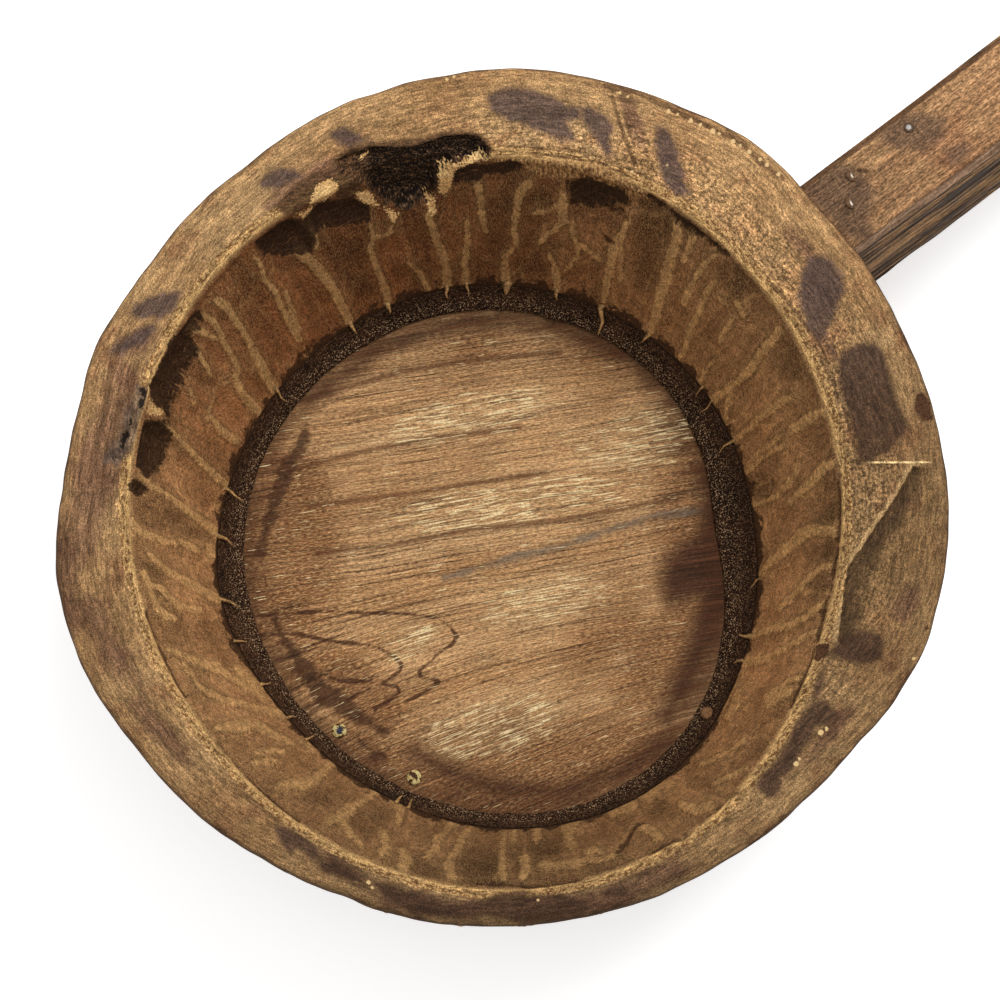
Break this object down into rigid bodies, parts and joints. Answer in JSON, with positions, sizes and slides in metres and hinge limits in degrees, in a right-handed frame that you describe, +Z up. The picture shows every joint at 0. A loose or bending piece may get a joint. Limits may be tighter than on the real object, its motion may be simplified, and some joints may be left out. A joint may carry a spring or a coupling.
{
  "type": "handled wooden bowl",
  "caption": "Hand-hewn log bowl with a let-in bottom board, a pitch-sealed corner and a squared side handle tenoned and nailed into the thick wall.",
  "frame": {"origin": "on the surface that the bowl stands on, under the middle of the whole object's box", "axes": "+X along the handle towards its free end, +Z up out of the bowl's mouth"},
  "size_m": [0.5674, 0.3282, 0.145],
  "materials": {
    "wall_wood": "dry, gouged and hand-worn hardwood with dark stains",
    "board_wood": "dry sawn board with coarse grain and pale mineral streaks",
    "pitch": "dull granular dark pitch",
    "handle_wood": "dry hewn hardwood, weathered on the flanks",
    "nail_iron": "worn iron with bright heads",
    "peg_wood": "pale end grain"
  },
  "bodies": {
    "root": {"bowl_body": "wall_wood", "base_board": "board_wood", "pitch_seal": "pitch", "handle": "handle_wood", "toe_nail_left": "nail_iron", "toe_nail_right": "nail_iron", "handle_nail": "nail_iron", "base_nail_1": "nail_iron", "base_nail_2": "nail_iron", "base_peg": "peg_wood"}
  },
  "joints": []
}
